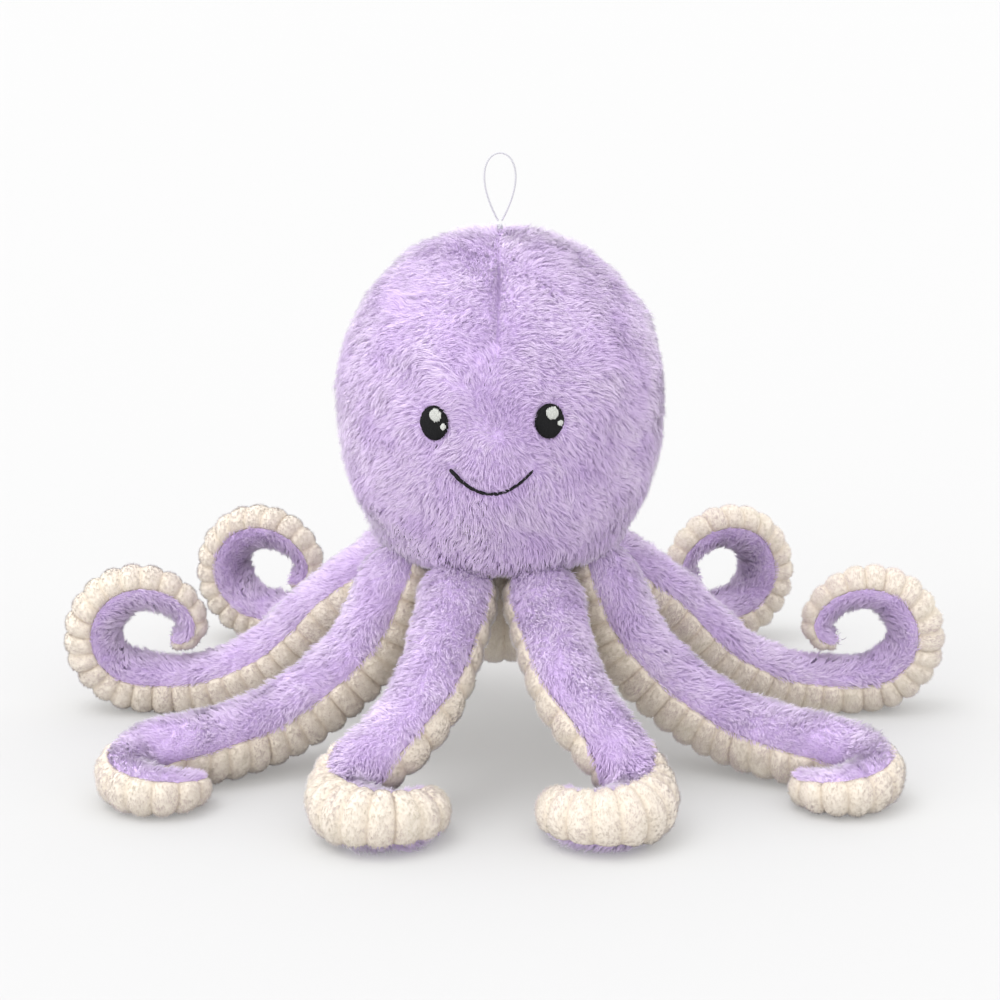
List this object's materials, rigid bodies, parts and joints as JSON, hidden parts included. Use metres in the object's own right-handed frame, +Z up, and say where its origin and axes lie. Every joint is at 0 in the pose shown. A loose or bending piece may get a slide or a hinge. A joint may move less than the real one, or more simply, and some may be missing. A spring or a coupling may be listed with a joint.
{
  "type": "plush octopus",
  "caption": "Stuffed long-pile octopus toy with curled ribbed tentacles sewn round a round head, an embroidered face and a thin hanging loop at the crown.",
  "frame": {"origin": "on the floor, under the middle of the whole toy seen from above", "axes": "+Z up, the face looks towards -Y, +X to the toy's left side as the viewer's right; X is the widest span, from curl to curl"},
  "size_m": [0.4912, 0.3695, 0.3267],
  "materials": {
    "lilac_plush": "long soft pile, matte",
    "cream_plush": "short ribbed pile, matte",
    "fibre_stuffing": "loose polyester fibre",
    "black_embroidery": "satin stitch thread, slight sheen",
    "white_embroidery": "satin stitch thread, slight sheen",
    "loop_thread": "smooth white cord"
  },
  "bodies": {
    "body": {"head_front_panel": "lilac_plush", "head_back_left_panel": "lilac_plush", "head_back_right_panel": "lilac_plush", "body_base_panel": "cream_plush", "head_and_body_stuffing": "fibre_stuffing", "eye_patch_left": "black_embroidery", "eye_patch_right": "black_embroidery", "eye_highlight_large_left": "white_embroidery", "eye_highlight_large_right": "white_embroidery", "eye_highlight_small_left": "white_embroidery", "eye_highlight_small_right": "white_embroidery", "smile_stitching": "black_embroidery", "loop_knot": "loop_thread"},
    "tentacle_front_left": {"tentacle_front_left_top_panel": "lilac_plush", "tentacle_front_left_ribbed_panel": "cream_plush", "tentacle_front_left_stuffing": "fibre_stuffing"},
    "tentacle_front_right": {"tentacle_front_right_top_panel": "lilac_plush", "tentacle_front_right_ribbed_panel": "cream_plush", "tentacle_front_right_stuffing": "fibre_stuffing"},
    "tentacle_side_front_left": {"tentacle_side_front_left_top_panel": "lilac_plush", "tentacle_side_front_left_ribbed_panel": "cream_plush", "tentacle_side_front_left_stuffing": "fibre_stuffing"},
    "tentacle_side_front_right": {"tentacle_side_front_right_top_panel": "lilac_plush", "tentacle_side_front_right_ribbed_panel": "cream_plush", "tentacle_side_front_right_stuffing": "fibre_stuffing"},
    "tentacle_side_back_left": {"tentacle_side_back_left_top_panel": "lilac_plush", "tentacle_side_back_left_ribbed_panel": "cream_plush", "tentacle_side_back_left_stuffing": "fibre_stuffing"},
    "tentacle_side_back_right": {"tentacle_side_back_right_top_panel": "lilac_plush", "tentacle_side_back_right_ribbed_panel": "cream_plush", "tentacle_side_back_right_stuffing": "fibre_stuffing"},
    "tentacle_back_left": {"tentacle_back_left_top_panel": "lilac_plush", "tentacle_back_left_ribbed_panel": "cream_plush", "tentacle_back_left_stuffing": "fibre_stuffing"},
    "tentacle_back_right": {"tentacle_back_right_top_panel": "lilac_plush", "tentacle_back_right_ribbed_panel": "cream_plush", "tentacle_back_right_stuffing": "fibre_stuffing"},
    "loop": {"hang_loop": "loop_thread"}
  },
  "joints": [
    {"name": "front_left_root_hinge", "type": "hinge", "parent": "body", "child": "tentacle_front_left", "pos_m": [-0.02546, -0.06443, 0.098], "axis": [-0.9239, 0.3827, 0], "range_deg": [-25, 50], "stiffness_Nm_per_rad": 0.6, "springref_deg": -2.86},
    {"name": "front_right_root_hinge", "type": "hinge", "parent": "body", "child": "tentacle_front_right", "pos_m": [0.02046, -0.06443, 0.098], "axis": [-0.9239, -0.3827, 0], "range_deg": [-25, 50], "stiffness_Nm_per_rad": 0.6, "springref_deg": -2.86},
    {"name": "side_front_left_root_hinge", "type": "hinge", "parent": "body", "child": "tentacle_side_front_left", "pos_m": [-0.05793, -0.03196, 0.098], "axis": [-0.3827, 0.9239, 0], "range_deg": [-25, 50], "stiffness_Nm_per_rad": 0.6, "springref_deg": -2.86},
    {"name": "side_front_right_root_hinge", "type": "hinge", "parent": "body", "child": "tentacle_side_front_right", "pos_m": [0.05293, -0.03196, 0.098], "axis": [-0.3827, -0.9239, 0], "range_deg": [-25, 50], "stiffness_Nm_per_rad": 0.6, "springref_deg": -2.86},
    {"name": "side_back_left_root_hinge", "type": "hinge", "parent": "body", "child": "tentacle_side_back_left", "pos_m": [-0.05793, 0.01396, 0.098], "axis": [0.3827, 0.9239, 0], "range_deg": [-25, 50], "stiffness_Nm_per_rad": 0.6, "springref_deg": -2.86},
    {"name": "side_back_right_root_hinge", "type": "hinge", "parent": "body", "child": "tentacle_side_back_right", "pos_m": [0.05293, 0.01396, 0.098], "axis": [0.3827, -0.9239, 0], "range_deg": [-25, 50], "stiffness_Nm_per_rad": 0.6, "springref_deg": -2.86},
    {"name": "back_left_root_hinge", "type": "hinge", "parent": "body", "child": "tentacle_back_left", "pos_m": [-0.02546, 0.04643, 0.098], "axis": [0.9239, 0.3827, 0], "range_deg": [-25, 50], "stiffness_Nm_per_rad": 0.6, "springref_deg": -2.86},
    {"name": "back_right_root_hinge", "type": "hinge", "parent": "body", "child": "tentacle_back_right", "pos_m": [0.02046, 0.04643, 0.098], "axis": [0.9239, -0.3827, 0], "range_deg": [-25, 50], "stiffness_Nm_per_rad": 0.6, "springref_deg": -2.86},
    {"name": "loop_hinge", "type": "hinge", "parent": "body", "child": "loop", "pos_m": [-0.0025, -0.009, 0.2902], "axis": [1, 0, 0], "range_deg": [-60, 60], "stiffness_Nm_per_rad": 0.0001}
  ]
}
